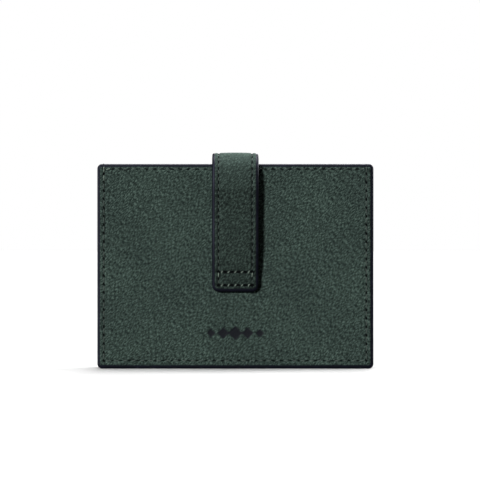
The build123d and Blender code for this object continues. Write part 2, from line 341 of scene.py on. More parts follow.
def make_object(name, points, faces, material, grain, marks=None):
    """Closed mesh from points in millimetres, with its flat leather coordinates and its painted marks."""
    mesh = bpy.data.meshes.new(name)
    mesh.from_pydata((np.asarray(points) * MM).tolist(), [], faces)
    flat = mesh.attributes.new("grain", "FLOAT_VECTOR", "POINT")
    flat.data.foreach_set("vector", np.asarray(grain, np.float32).ravel())
    for key, values in (marks or {}).items():
        mark = mesh.attributes.new(key, "FLOAT", "POINT")
        mark.data.foreach_set("value", np.asarray(values, np.float32))
    build = bmesh.new()
    build.from_mesh(mesh)
    bmesh.ops.recalc_face_normals(build, faces=build.faces)
    build.to_mesh(mesh)
    build.free()
    mesh.shade_smooth()
    mesh.set_sharp_from_angle(angle=SHARP_EDGE)
    mesh.materials.append(material)
    piece = bpy.data.objects.new(name, mesh)
    bpy.context.scene.collection.objects.link(piece)
    return piece


def grid_faces(rows, columns, first=0):
    """Quads of a grid of points stored row by row."""
    r, c = np.meshgrid(np.arange(rows - 1), np.arange(columns - 1), indexing="ij")
    a = first + (r * columns + c).ravel()
    return np.stack([a, a + 1, a + columns + 1, a + columns], 1).tolist()


def border_of(rows, columns):
    """Indices round the edge of such a grid, in order."""
    index = np.arange(rows * columns).reshape(rows, columns)
    return np.concatenate([index[0, :-1], index[:-1, -1], index[-1, :0:-1], index[:0:-1, 0]])


def tube_faces(rings, sides):
    """Quads of a tube of points stored ring by ring, with a cap at each end."""
    faces = []
    for ring in range(rings - 1):
        for side in range(sides):
            one, two = ring * sides + side, ring * sides + (side + 1) % sides
            faces.append([one, two, two + sides, one + sides])
    faces.append(list(range(sides)))
    faces.append([(rings - 1) * sides + side for side in range(sides)])
    return faces


def spaced(low, high, step, fine_spots=(), fine_step=0.2, fine_reach=0.9):
    """Positions from low to high, closer together near the fine spots."""
    probe = np.linspace(low, high, 4000)
    gap = np.full_like(probe, step)
    for spot in fine_spots:
        near = np.abs(probe - spot) < fine_reach
        gap[near] = fine_step
    total = np.concatenate([[0], np.cumsum(np.diff(probe) / gap[:-1])])
    return np.interp(np.linspace(0, total[-1], int(total[-1]) + 2), total, probe)


def corner_steps(corner, count=6):
    """Steps through a rounded corner, smaller where its side turns fastest."""
    return corner * (1 - np.cos(np.linspace(0, math.pi / 2, count)))[:-1]


def panel_rows(south, north, corner, *spacing):
    """Places up a panel with rounded corners; spacing goes on to spaced() for the straight part."""
    steps = corner_steps(corner)
    straight = spaced(south + corner, north - corner, *spacing)
    return np.concatenate([south + steps, straight, (north - steps)[::-1]])


def travelled(line):
    """Length travelled along a line of points, at each of them."""
    return np.concatenate([[0], np.cumsum(np.linalg.norm(np.diff(line, axis=0), axis=1))])


def even(height):
    """A surface of one height."""
    return lambda u, v: np.full_like(u, height)


def bell(distance, spread):
    """1 at no distance, falling away smoothly on both sides."""
    return np.exp(-(distance**2) / (2 * spread**2))


def rounded_drop(inside, radius):
    """How far a rounded edge has fallen at a place this far inside it."""
    into = np.clip(radius - inside, 0, radius)
    return radius - np.sqrt(np.maximum(radius**2 - into**2, 0))


def slab(name, across, along, half_width, top, bottom, place, material, flat_bottom=False, marks=None):
    """Leather between two heights: across is -1 to 1, scaled by half_width at each place along."""
    rows, columns = len(along), len(across)
    v = np.repeat(along, columns)
    u = np.tile(across, rows) * half_width(v)
    high, low = top(u, v), bottom(u, v)
    points = place(u, v, high)
    grain = np.stack([u, v, high], 1)
    faces = grid_faces(rows, columns)
    rim = border_of(rows, columns)
    count = rows * columns
    if flat_bottom:
        under = place(u[rim], v[rim], low[rim])
        under_grain = np.stack([u[rim], v[rim], low[rim]], 1)
        lower = count + np.arange(len(rim))
        faces.append(lower.tolist())
    else:
        under = place(u, v, low)
        under_grain = np.stack([u, v, low], 1)
        lower = count + rim
        faces += grid_faces(rows, columns, count)
    ahead, lower_ahead = np.roll(rim, -1), np.roll(lower, -1)
    faces += np.stack([rim, ahead, lower_ahead, lower], 1).tolist()
    all_marks = {}
    for key, value in (marks or {}).items():
        all_marks[key] = np.concatenate([value(u, v), np.zeros(len(under))])
    return make_object(
        name, np.vstack([points, under]), faces, material, np.vstack([grain, under_grain]), all_marks
    )


def bead(name, runs, top, bottom, place, material):
    """Painted edge swept along runs of (outline points, outward directions, widths, closed)."""
    turn = np.linspace(-math.pi / 2, math.pi / 2, 15)
    middle, half = (top + bottom) / 2, (top - bottom) / 2
    inward = np.concatenate([[1.0, 1.0], 1 - np.cos(turn) ** 0.75, [1.0, 1.0]])
    bulge = np.sign(np.sin(turn)) * np.abs(np.sin(turn)) ** 0.85
    height = np.concatenate([[-0.3, -0.7], bulge, [0.7, 0.3]])
    count = len(inward)
    points, grain, faces = [], [], []
    for outline, outward, widths, closed in runs:
        first = sum(len(block) for block in points)
        n = len(outline)
        u = outline[:, 0, None] - outward[:, 0, None] * widths[:, None] * inward
        v = outline[:, 1, None] - outward[:, 1, None] * widths[:, None] * inward
        h = np.broadcast_to(middle + half * height, u.shape)
        points.append(place(u.ravel(), v.ravel(), h.ravel()))
        around = np.broadcast_to(np.arange(count) * 0.25, u.shape)
        travel = np.repeat(travelled(outline), count)
        grain.append(np.stack([travel, around.ravel(), np.full(n * count, 3.0)], 1))
        rings = n if closed else n - 1
        i = np.repeat(np.arange(rings), count)
        j = np.tile(np.arange(count), rings)
        following, beside = (i + 1) % n, (j + 1) % count
        corners = [i * count + j, following * count + j, following * count + beside, i * count + beside]
        faces += (np.stack(corners, 1) + first).tolist()
        if not closed:
            faces.append((first + np.arange(count)).tolist())
            faces.append((first + (n - 1) * count + np.arange(count)).tolist())
    return make_object(name, np.vstack(points), faces, material, np.vstack(grain))


def turned(u, v, along, across, degrees):
    """Flat places of a small shape laid at (u, v) and turned by this angle."""
    lean = math.radians(degrees)
    return (
        u + along * math.cos(lean) - across * math.sin(lean),
        v + along * math.sin(lean) + across * math.cos(lean),
    )


def stitch_template():
    """One twisted stitch of unit length: (along, across, height) with radius 1, and its faces."""
    rings, sides, plies, turns = 13, 12, 3, 1.2
    along = np.repeat(np.linspace(-0.5, 0.5, rings), sides)
    angle = np.tile(np.linspace(0, 2 * math.pi, sides, endpoint=False), rings)
    taper = np.clip(1 - (np.abs(along) * 2) ** 6, 0.25, 1)
    radius = taper * (0.86 + 0.14 * np.cos(plies * (angle - 2 * math.pi * turns * along)))
    return along, radius * np.cos(angle), radius * np.sin(angle), tube_faces(rings, sides)


def stitches(name, places, height, place, material, radius=THREAD_RADIUS, arch=0.16, sink=0.3, wander=2.0):
    """Thread showing between needle holes; places are (u, v, direction in degrees, length)."""
    along, across, up, template = stitch_template()
    points, grain, faces = [], [], []
    for index, (u, v, turn, length) in enumerate(places):
        lean = turn + STITCH_LEAN + rng.normal(0, wander)
        a = along * length
        b = across * radius * rng.uniform(0.92, 1.1)
        lift = arch * np.cos(math.pi * along) - sink * (np.abs(along) * 2) ** 5
        h = height(u, v) + up * radius + lift + rng.normal(0, 0.012)
        points.append(place(*turned(u, v, a, b, lean), h))
        grain.append(np.stack([a + 7 * index, b, up], 1))
        first = index * len(along)
        faces += [[corner + first for corner in face] for face in template]
    return make_object(name, np.vstack(points), faces, material, np.vstack(grain))


def needle_slots(name, spots, height, place):
    """Near-black slots that carry the painted shade inside the needle holes; spots are (u, v, direction in
    degrees, length, width).
    """
    rings, sides = 5, 10
    tilt = np.repeat(np.linspace(-math.pi / 2, math.pi / 2, rings + 2)[1:-1], sides)
    turn = np.tile(np.linspace(0, 2 * math.pi, sides, endpoint=False), rings)
    along, across, up = np.cos(tilt) * np.cos(turn), np.cos(tilt) * np.sin(turn), np.sin(tilt)
    template = tube_faces(rings, sides)
    points, grain, faces = [], [], []
    for index, (u, v, direction, length, width) in enumerate(spots):
        lean = direction + rng.normal(0, 5)
        a = along * length / 2 * rng.uniform(0.85, 1.12)
        b = across * width / 2 * rng.uniform(0.85, 1.12)
        flat_u, flat_v = turned(u, v, a, b, lean)
        points.append(place(flat_u, flat_v, height(flat_u, flat_v) + 0.1 * up))
        grain.append(np.stack([flat_u, flat_v, up], 1))
        faces += [[corner + index * len(along) for corner in face] for face in template]
    return make_object(name, np.vstack(points), faces, needle_hole_shade, np.vstack(grain))


def seam_steps(start, end, pitch):
    """A seam's first point, its whole run, its length, the count of its stitches and its direction."""
    start, end = np.array(start), np.array(end)
    run = end - start
    length = np.linalg.norm(run)
    return start, run, length, max(1, round(length / pitch)), math.degrees(math.atan2(*run[::-1]))


def slots_along(seams, pitch, length, width, lean=0.0):
    """Needle slots from end to end of each seam, turned from its direction by lean."""
    slots = []
    for seam in seams:
        start, run, _, count, turn = seam_steps(*seam, pitch)
        slots += [(*(start + run * k / count), turn + lean, length, width) for k in range(count + 1)]
    return slots


def stitches_along(seams, pitch, fill, lean=0.0):
    """Stitch places between the needle holes of each seam, turned from its direction by lean."""
    places = []
    for seam in seams:
        start, run, length, count, turn = seam_steps(*seam, pitch)
        middles = (np.arange(count) + 0.5) / count
        places += [(*(start + run * m), turn + lean, length / count * fill) for m in middles]
    return places


def seam_shape(u, v, seams, pitch, groove=0.13, hole_depth=0.3, reach=(0.26, 0.34), spread=0.42):
    """(sink, hole_shade) of the leather near its seams: a soft channel, and a pulled dip at each needle
    point; hole_shade marks where painted shade darkens the needle holes.
    """
    sink = np.zeros_like(u)
    hole_shade = np.zeros_like(u)
    end_fade = 0.3
    for seam in seams:
        start, run, length, count, _ = seam_steps(*seam, pitch)
        direction = run / length
        along = (u - start[0]) * direction[0] + (v - start[1]) * direction[1]
        off = (u - start[0]) * direction[1] - (v - start[1]) * direction[0]
        beyond = np.maximum(np.maximum(-along, along - length), 0)
        step = length / count
        from_hole = along - np.clip(np.round(along / step), 0, count) * step
        channel = bell(off, spread) * bell(beyond, end_fade)
        pulled = bell(off, reach[0]) * bell(from_hole, reach[1])
        sink = np.maximum(sink, groove * channel + hole_depth * pulled)
        hole_shade = np.maximum(hole_shade, pulled)
    return sink, hole_shade


def leather_waves(u, v, size):
    """Slow unevenness of a hand-sized piece of leather."""
    waves = np.sin(u * 0.13 + v * 0.09) + np.sin(v * 0.17 - u * 0.07 + 1.3) + np.sin(u * 0.31 + 2.1) * 0.4
    return size * waves


def rounded_rectangle(left, right, low, high, radius, step=0.5, corner_points=9):
    """Outline points and outward directions, anticlockwise from the lower right corner."""
    points, directions = [], []
    corners = (
        (right - radius, low + radius, -90),
        (right - radius, high - radius, 0),
        (left + radius, high - radius, 90),
        (left + radius, low + radius, 180),
    )
    for index, (u, v, start) in enumerate(corners):
        for angle in np.radians(np.linspace(start, start + 90, corner_points)):
            directions.append((math.cos(angle), math.sin(angle)))
            points.append((u + radius * math.cos(angle), v + radius * math.sin(angle)))
        after = corners[(index + 1) % 4]
        turn = math.radians(after[2])
        goal = np.array((after[0] + radius * math.cos(turn), after[1] + radius * math.sin(turn)))
        here = np.array(points[-1])
        count = int(np.linalg.norm(goal - here) / step)
        for share in np.arange(1, count) / count:
            points.append(tuple(here + (goal - here) * share))
            directions.append(directions[-1])
    return np.array(points), np.array(directions)


# --------------------------------------------------------------------- covers

# How far the edge paint laps over the leather on each side, and the seams' distances from the edges,
# seen from the front
PAINT_LEFT, PAINT_RIGHT, PAINT_TOP, PAINT_BOTTOM = 1.0, 1.1, 1.1, 1.3
SEAM_LEFT, SEAM_RIGHT, SEAM_TOP, SEAM_BOTTOM = 2.55, 2.75, 1.95, 3.0

# How far the leather runs under the paint, its own corners, and the radii of its and the lining's edges
LAP = 0.12
LEATHER_CORNER = COVER_CORNER - 0.6
ROLL, LINING_ROLL = 0.55, 0.4

# Share of each pitch that the thread covers, and needle slots as (length, width, lean in degrees)
LEVEL_FILL, UPRIGHT_FILL = 0.55, 0.76
BOTTOM_SLOT, TOP_SLOT, SIDE_SLOT = (1.4, 0.42, 0), (1.8, 0.46, 0), (1.3, 0.62, 24)

# The seams' ends near the front cover's top left corner are sewn over again, in a paler copy of the thread
# whose colour is a painted highlight.
LOCK_WIDTH, LOCK_LENGTH = 4.0, 8.0

# Row of lozenges that stands in the debossed mark's place
LOZENGE_PITCH, LOZENGE_SIZE, LOZENGE_STEP = 4.6, 5.6, 1.1
ORNAMENT_HEIGHT, ORNAMENT_DEPTH = 13.4, 0.2

# Distances between mesh points on the face, near its seams and on the lining
FACE_STEP, SEAM_STEP, LINING_STEP = 0.42, 0.2, 1.5


def cover_seams(mirrored):
    """Seam runs of a cover as pairs of points; the side seams run up over the top edge."""
    left, right = (SEAM_RIGHT, SEAM_LEFT) if mirrored else (SEAM_LEFT, SEAM_RIGHT)
    west, east = left - cover_half_width, cover_half_width - right
    north, overrun = cover_height - SEAM_TOP, cover_height - 0.5
    return [
        ((west, SEAM_BOTTOM), (east, SEAM_BOTTOM)),
        ((west, north), (east, north)),
        ((west, SEAM_BOTTOM), (west, overrun)),
        ((east, SEAM_BOTTOM), (east, overrun)),
    ]


def cover_place(outer, outward):
    """Puts flat (u, v, height above the face) on a cover."""
    return lambda u, v, h: np.stack([u, outer + outward * h, v], 1)


def ornament(u, v):
    """1 inside the row of debossed lozenges, 0 outside, with a soft rim."""
    inside = np.zeros_like(u)
    for rank in range(-2, 3):
        half = (LOZENGE_SIZE - LOZENGE_STEP * abs(rank)) / 2
        reach = half - np.abs(u - rank * LOZENGE_PITCH) - np.abs(v - ORNAMENT_HEIGHT)
        inside = np.maximum(inside, np.clip(reach / 0.35 + 0.5, 0, 1))
    return inside


class Cover:
    """One cover: its outline inside the edge paint, its seams and its place."""

    def __init__(self, side, outer, outward, body):
        self.side, self.body = side, body
        self.front = side == "front"
        self.place = cover_place(outer, outward)
        self.paint = (PAINT_LEFT, PAINT_RIGHT) if self.front else (PAINT_RIGHT, PAINT_LEFT)
        self.seams = cover_seams(not self.front)
        self.west = self.paint[0] - LAP - cover_half_width
        self.east = cover_half_width - self.paint[1] + LAP
        self.south, self.north = PAINT_BOTTOM - LAP, cover_height - PAINT_TOP + LAP
        self.centre, self.half = (self.west + self.east) / 2, (self.east - self.west) / 2

    def half_width(self, v):
        return self.half - rounded_drop(np.minimum(v - self.south, self.north - v), LEATHER_CORNER)

    def place_off_centre(self, u, v, h):
        return self.place(u + self.centre, v, h)

    def off_centre(self, surface):
        """The same surface, with its first place counted from the leather's middle."""
        return lambda u, v: surface(u + self.centre, v)

    def inside(self, x, v):
        """How far inside the leather's outline a place lies."""
        from_side = np.minimum(x - self.west, self.east - x)
        return np.minimum(from_side, np.minimum(v - self.south, self.north - v))

    def top(self, x, v):
        """The leather's surface: rolled edges, a low ridge before the seams, the seams' channels, slow
        waves and the front's lozenges."""
        edge = self.inside(x, v)
        sink, _ = seam_shape(x, v, self.seams, PANEL_PITCH)
        ridge = 0.07 * bell(edge - 0.95, 0.45)
        height = leather_waves(x, v, 0.02) - 0.62 * rounded_drop(edge, ROLL) - sink + ridge
        return height - ORNAMENT_DEPTH * self.inked(x, v)

    # Mask of the painted shade in the needle holes.
    def holes(self, x, v):
        return seam_shape(x, v, self.seams, PANEL_PITCH)[1]

    def inked(self, x, v):
        return ornament(x, v) if self.front else np.zeros_like(x)

    def lining_top(self, x, v):
        edge = self.inside(x, v)
        crease = 0.06 * bell(edge - 1.6, 0.25)
        return -cover_thickness + 0.6 * rounded_drop(edge, LINING_ROLL) + crease


def make_cover_face(cover):
    """Nubuck with its seam channels, needle holes and debossed lozenges."""
    seam_rows = (SEAM_BOTTOM, cover_height - SEAM_TOP)
    rows = panel_rows(cover.south, cover.north, LEATHER_CORNER, FACE_STEP, seam_rows)
    seam_shares = [(seam[0][0] - cover.centre) / cover.half for seam in cover.seams[2:]]
    columns = spaced(-1, 1, FACE_STEP / cover.half, seam_shares, SEAM_STEP / cover.half, 0.9 / cover.half)
    face = slab(
        f"{cover.side}_face", columns, rows, cover.half_width, cover.off_centre(cover.top),
        even(-face_thickness), cover.place_off_centre, nubuck, True,
        {"hole_shade": cover.off_centre(cover.holes), "ink": cover.off_centre(cover.inked)},
    )
    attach(face, cover.body)
    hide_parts(f"{cover.side}_face_leather")


def make_cover_lining(cover):
    """Smooth leather towards the pockets, creased along its edges."""
    rows = panel_rows(cover.south, cover.north, LEATHER_CORNER, LINING_STEP)
    edge_share = 2.4 / cover.half
    fine_spots = (edge_share - 1, 1 - edge_share)
    columns = spaced(-1, 1, LINING_STEP / cover.half, fine_spots, 0.4 / cover.half, edge_share)
    lining = slab(
        f"{cover.side}_inner_lining", columns, rows, cover.half_width, cover.off_centre(cover.lining_top),
        even(-face_thickness), cover.place_off_centre, lining_leather, True,
    )
    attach(lining, cover.body)
    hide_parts(f"{cover.side}_lining")


def make_cover_edge(cover):
    """Painted edge all round, as wide on each side as its own lap, and slightly uneven."""
    outline, outward = rounded_rectangle(-cover_half_width, cover_half_width, 0, cover_height, COVER_CORNER)
    sides = (
        (outward[:, 0], cover.paint[1]),
        (-outward[:, 0], cover.paint[0]),
        (outward[:, 1], PAINT_TOP),
        (-outward[:, 1], PAINT_BOTTOM),
    )
    widths = sum(np.clip(share, 0, 1) ** 2 * width for share, width in sides)
    step = np.arange(len(widths))
    wander = 0.05 * np.sin(step * 0.11) + 0.03 * np.sin(step * 0.37)
    runs = [(outline, outward, widths + wander, True)]
    coat = bead(f"{cover.side}_painted_edge", runs, -0.1, 0.02 - cover_thickness, cover.place, edge_paint)
    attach(coat, cover.body)
    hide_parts(f"{cover.side}_edge_coat")


def make_cover_thread(cover):
    """Stitches along all four sides, and the needle slots between them."""
    level, upright = cover.seams[:2], cover.seams[2:]
    places = stitches_along(level, PANEL_PITCH, LEVEL_FILL)
    places += stitches_along(upright, PANEL_PITCH, UPRIGHT_FILL)
    lock_east, lock_south = cover.west + LOCK_WIDTH, cover_height - LOCK_LENGTH
    locked = [spot for spot in places if cover.front and spot[0] < lock_east and spot[1] > lock_south]
    plain = [spot for spot in places if spot not in locked]
    pieces = [stitches(f"{cover.side}_stitching", plain, even(-0.14), cover.place, thread)]
    if locked:
        name = f"{cover.side}_lock_stitching"
        pieces.append(stitches(name, locked, even(-0.1), cover.place, highlight_thread, 0.17, wander=14))
    slots = slots_along(level[:1], PANEL_PITCH, *BOTTOM_SLOT)
    slots += slots_along(level[1:], PANEL_PITCH, *TOP_SLOT)
    slots += slots_along(upright, PANEL_PITCH, *SIDE_SLOT)

    def in_leather(x, v):
        return cover.top(x, v) - 0.02

    pieces.append(needle_slots(f"{cover.side}_needle_hole_shades", slots, in_leather, cover.place))
    for piece in pieces:
        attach(piece, cover.body)
        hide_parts(f"{cover.side}_seam_thread")


for cover in (
    Cover("front", front_outer, -1, "front_cover"),
    Cover("back", back_outer, 1, "back_cover"),
):
    make_cover_face(cover)
    make_cover_lining(cover)
    make_cover_edge(cover)
    make_cover_thread(cover)

# ------------------------------------------------------------------ accordion

DIVIDER_CORNER, DIVIDER_INSET, DIVIDER_CREASE, DIVIDER_PAINT = 1.6, 0.2, 1.9, 0.34
PLEAT_SHEET, FLOOR_SHEET, GLUE_GAP = 0.15, 0.12, 0.015


def make_divider(number):
    """Two glued plies with a creased line near their edges, and a thin painted edge."""
    body = f"leaf_{number}"
    rear = box_mm(f"divider_{number}_rear_ply")[1][1]
    low, high = box_mm(f"divider_{number}_front_ply")
    half, south, north = high[0], low[2], high[2]
    south_end, north_end = south + DIVIDER_INSET, north - DIVIDER_INSET

    def half_width(v):
        return half - DIVIDER_INSET - rounded_drop(np.minimum(v - south_end, north_end - v), DIVIDER_CORNER)

    def top(u, v):
        edge = np.minimum(half - np.abs(u), north - v)
        return -0.07 * bell(edge - DIVIDER_CREASE, 0.16) - 0.05 * np.exp(-edge / 0.25)

    rows = panel_rows(south_end, north_end, DIVIDER_CORNER, 1.6, (north - DIVIDER_CREASE,), 0.12)
    share = DIVIDER_CREASE / half
    columns = spaced(-1, 1, 1.6 / half, (share - 1, 1 - share), 0.12 / half, 0.7 / half)
    for name, outer, outward in (("rear", rear, 1), ("front", rear - divider_thickness, -1)):
        piece = slab(
            f"divider_{number}_{name}", columns, rows, half_width, top, even(-divider_thickness / 2),
            cover_place(outer, outward), lining_leather, True,
        )
        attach(piece, body)
        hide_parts(f"divider_{number}_{name}_ply")

    outline, outward = rounded_rectangle(-half, half, south, north, DIVIDER_CORNER + DIVIDER_INSET, 1.0)
    runs = [(outline, outward, np.full(len(outline), DIVIDER_PAINT), True)]
    name = f"divider_{number}_painted_edge"
    edge = bead(name, runs, 0.0, -divider_thickness, cover_place(rear, 1), edge_paint)
    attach(edge, body)


def unsmooth(share):
    """The place between a blend's two ends that turns by this share."""
    grid = np.linspace(0, 1, 400)
    return np.interp(share, grid * grid * (3 - 2 * grid), grid)


def folded_sheet(name, path, sweep, axis, thickness, grain_height, material):
    """Thin leather following a path of (across, depth) points, drawn out along one axis."""
    tangent = np.gradient(path, axis=0)
    tangent /= np.linalg.norm(tangent, axis=1)[:, None]
    normal = np.stack([-tangent[:, 1], tangent[:, 0]], 1)
    loop = np.vstack([path + normal * thickness / 2, (path - normal * thickness / 2)[::-1]])
    count, steps = len(loop), len(sweep)
    points = np.zeros((steps, count, 3))
    others = [index for index in range(3) if index != axis]
    points[:, :, others[0]] = loop[None, :, 0]
    points[:, :, others[1]] = loop[None, :, 1]
    points[:, :, axis] = sweep[:, None]
    i, j = np.meshgrid(np.arange(steps - 1), np.arange(count), indexing="ij")
    here, beside = (i * count + j).ravel(), (i * count + (j + 1) % count).ravel()
    faces = np.stack([here, beside, beside + count, here + count], 1).tolist()
    for ring in (0, (steps - 1) * count):
        for k in range(count // 2 - 1):
            faces.append([ring + k, ring + k + 1, ring + count - 2 - k, ring + count - 1 - k])
    travel = travelled(path)
    loop_travel = np.tile(np.concatenate([travel, travel[::-1]]), steps)
    grain = np.stack([loop_travel, np.repeat(sweep, count), np.full(steps * count, grain_height)], 1)
    return make_object(name, points.reshape(-1, 3), faces, material, grain)


def make_pocket(number):
    """The two side pleats and the floor fold between two leaves."""
    rear = back_inner - (number - 1) * (pocket_gap + divider_thickness)
    first = rear - PLEAT_SHEET / 2 - GLUE_GAP
    last = rear - pocket_gap + PLEAT_SHEET / 2 + GLUE_GAP
    start, end = (0, first * MM, 0), (0, last * MM, 0)
    low, high = box_mm(f"gusset_right_{number}")
    turn = np.linspace(-1, 1, 41)
    depth = first + unsmooth((turn + 1) / 2) * (last - first)
    reach = 1 - np.abs(turn) ** 1.25
    sweep = np.linspace(low[2], high[2], 24)
    for side, sign in (("left", -1), ("right", 1)):
        x = sign * (high[0] - (high[0] - low[0]) * reach)
        pleat = folded_sheet(
            f"pleat_{side}_{number}", np.stack([x, depth], 1), sweep, 2, PLEAT_SHEET, 5.0 * number,
            lining_leather,
        )
        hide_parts(f"gusset_{side}_{number}")
        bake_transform(pleat)
        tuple(start)
        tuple(end)

    floor_low, floor_high = box_mm(f"pocket_floor_{number}")
    rise = 1 - np.cos(np.linspace(-1, 1, 17) * math.pi / 2) ** 0.6
    across = first + unsmooth(np.linspace(0, 1, 17)) * (last - first)
    height = floor_low[2] + PLEAT_SHEET + rise * (floor_high[2] - floor_low[2])
    sweep = np.linspace(floor_low[0], floor_high[0], 40)
    fold_piece = folded_sheet(
        f"floor_fold_{number}", np.stack([across, height], 1), sweep, 0, FLOOR_SHEET, 9.0 * number,
        lining_leather,
    )
    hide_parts(f"pocket_floor_{number}")
    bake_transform(fold_piece)
    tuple(start)
    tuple(end)


for number in range(1, divider_count + 1):
    make_divider(number)
for number in range(1, divider_count + 2):
    make_pocket(number)

# ---------------------------------------------------------------------- strap

# How far the edge paint laps over the strap at its sides and ends, and the radius of the leather's edge
PAINT_STRAP, PAINT_TIP = 1.0, 1.3
STRAP_ROLL = 0.5

# The strap stands a little off the front cover: height, distance from the tip, and length
BULGE, BULGE_START, BULGE_LENGTH = 0.7, 1.5, 29.5

# The boxes' rows have five stitches, slanted by this many degrees.
BOX_PITCH = 2 * STRAP_SEAM / 5
BOX_LEAN = -60

# Share of each pitch that the thread covers, and needle slots as (length, width)
STRAP_FILL, BOX_FILL = 0.7, 0.52
STRAP_SLOT, BOX_SLOT = (2.3, 0.42), (1.8, 1.0)


def heading(angle):
    """Unit (y, z) vector at an angle in degrees from +Y."""
    return np.array([math.cos(math.radians(angle)), math.sin(math.radians(angle))])


def strap_path():
    """The strap's middle line from its root to its tip: travelled length, y, z and outward angle."""
    half = STRAP_THICKNESS / 2
    y = back_outer + STRAP_BACK_GAP
    rise = np.linspace(strap_root_height, BEND_START, 200)
    rows = [np.stack([np.full_like(rise, y + half), rise, np.zeros_like(rise)], 1)]
    start, angle = np.array([y, BEND_START]), 0.0
    for radius, end in STRAP_BENDS:
        centre = start - radius * heading(angle)
        turn = np.linspace(angle, end, 300)
        ray = np.stack([np.cos(np.radians(turn)), np.sin(np.radians(turn))], 1)
        rows.append(np.column_stack([centre + (radius + half) * ray, turn]))
        start, angle = centre + radius * ray[-1], end
    outward = heading(angle)
    down = np.array([-outward[1], outward[0]])
    run = (start[1] - (strap_tip_height + 0.05)) / -down[1]
    steps = np.linspace(0, run, 300)[:, None]
    rows.append(np.column_stack([start + half * outward + steps * down, np.full(300, angle)]))
    line = np.vstack(rows)
    travel = travelled(line[:, :2])
    keep = np.concatenate([[True], np.diff(travel) > 1e-9])
    return travel[keep], line[keep]


path_travel, path_line = strap_path()
strap_length = path_travel[-1]


def strap_angle(v):
    """Outward angle of the strap in degrees: 0 on the back cover, 90 on top, about 180 in front."""
    return np.interp(v, path_travel, path_line[:, 2])


def strap_place(u, v, h):
    """Wraps flat (across, along from the root, height above the inner face) round the strap's path."""
    y = np.interp(v, path_travel, path_line[:, 0])
    z = np.interp(v, path_travel, path_line[:, 1])
    angle = np.radians(strap_angle(v))
    beyond = np.maximum(v - strap_length, 0) + np.minimum(v, 0)
    share = np.clip((strap_length - v - BULGE_START) / BULGE_LENGTH, 0, 1)
    offset = h - STRAP_THICKNESS / 2 + BULGE * np.sin(math.pi * share) ** 2
    y = y + offset * np.cos(angle) - beyond * np.sin(angle)
    z = z + offset * np.sin(angle) + beyond * np.cos(angle)
    return np.stack([u, y, z], 1)


side_seams = [((x, BOX_MARGIN), (x, strap_length - BOX_MARGIN)) for x in (-STRAP_SEAM, STRAP_SEAM)]
box_rows = [BOX_MARGIN, BOX_MARGIN + BOX_HEIGHT]
box_rows += [strap_length - BOX_MARGIN - BOX_HEIGHT, strap_length - BOX_MARGIN]
box_seams = [((-STRAP_SEAM, v), (STRAP_SEAM, v)) for v in box_rows]


def strap_seam_shape(u, v):
    """(sink, hole_shade) of the strap's leather near its side seams and its boxes of stitches; hole_shade
    marks where painted shade darkens the needle holes.
    """
    side_sink, side_hole = seam_shape(u, v, side_seams, STRAP_PITCH, 0.32, 0.1, (0.22, 0.8), 0.28)
    box_sink, box_hole = seam_shape(u, v, box_seams, BOX_PITCH, 0.17, 0.25, (0.34, 0.6))
    return np.maximum(side_sink, box_sink), np.maximum(side_hole * 0.7, box_hole)


def strap_edge(u, v):
    """How far inside the edge paint a place lies."""
    from_end = np.minimum(v, strap_length - v) - PAINT_TIP
    return np.minimum(strap_half_width - PAINT_STRAP - np.abs(u), from_end)


def strap_top(u, v):
    """Outer surface: a domed middle, soft seam channels and rounded margins."""
    dome = 0.16 * np.clip(1 - (u / STRAP_SEAM) ** 2, 0, 1)
    sink, _ = strap_seam_shape(u, v)
    roll = 0.6 * rounded_drop(strap_edge(u, v), STRAP_ROLL)
    return STRAP_THICKNESS + dome - roll - sink + leather_waves(u + 11, v, 0.015)


def strap_bottom(u, v):
    """The lining's face towards the covers, rounded at its edges."""
    return 0.02 + 0.6 * rounded_drop(strap_edge(u, v), LINING_ROLL)


def strap_stretch_and_highlight(u, v):
    """1 where the leather bends over the top, 0 where it lies flat: stretched nap there, and a painted
    highlight where the crown faces the light from above.
    """
    return np.clip(np.sin(np.radians(np.clip(strap_angle(v), 0, 180))), 0, 1) ** 0.4


def strap_cap():
    """Outline round an end of the strap as (across, past the end) points, and its outward directions."""
    inner = strap_half_width - STRAP_CORNER
    arc = np.radians(np.linspace(0, 90, 10)[1:])
    ray = np.stack([np.cos(arc), np.sin(arc)], 1)
    mirrored = ray[::-1] * [-1, 1]
    flat = np.linspace(inner, -inner, 40)[1:-1]
    points = [
        [inner, -STRAP_CORNER] + STRAP_CORNER * ray,
        np.stack([flat, np.zeros_like(flat)], 1),
        [-inner, -STRAP_CORNER] + STRAP_CORNER * mirrored,
    ]
    return np.vstack(points), np.vstack([ray, np.tile([0.0, 1.0], (len(flat), 1)), mirrored])


def strap_outline(low, high):
    """Runs of the strap's edge between two places along, round the end where it has one."""
    side_low = STRAP_CORNER if low <= 0 else low
    side_high = strap_length - STRAP_CORNER if high >= strap_length else high
    along = spaced(side_low, side_high, 0.35)
    right = np.stack([np.full_like(along, strap_half_width), along], 1)
    left = np.stack([np.full_like(along, -strap_half_width), along[::-1]], 1)
    right_way = np.tile([1.0, 0.0], (len(along), 1))
    left_way = -right_way
    cap, cap_way = strap_cap()
    if high >= strap_length:
        tip = cap + [0, strap_length]
        runs = [(np.vstack([right, tip, left]), np.vstack([right_way, cap_way, left_way]))]
    elif low <= 0:
        runs = [(np.vstack([left, -cap, right]), np.vstack([left_way, -cap_way, right_way]))]
    else:
        runs = [(right, right_way), (left, left_way)]
    extra = PAINT_TIP - PAINT_STRAP
    return [(points, way, PAINT_STRAP + extra * way[:, 1] ** 2, False) for points, way in runs]


joints = {joint["name"]: joint for joint in frame["record"]["behaviour"]["joints"]}


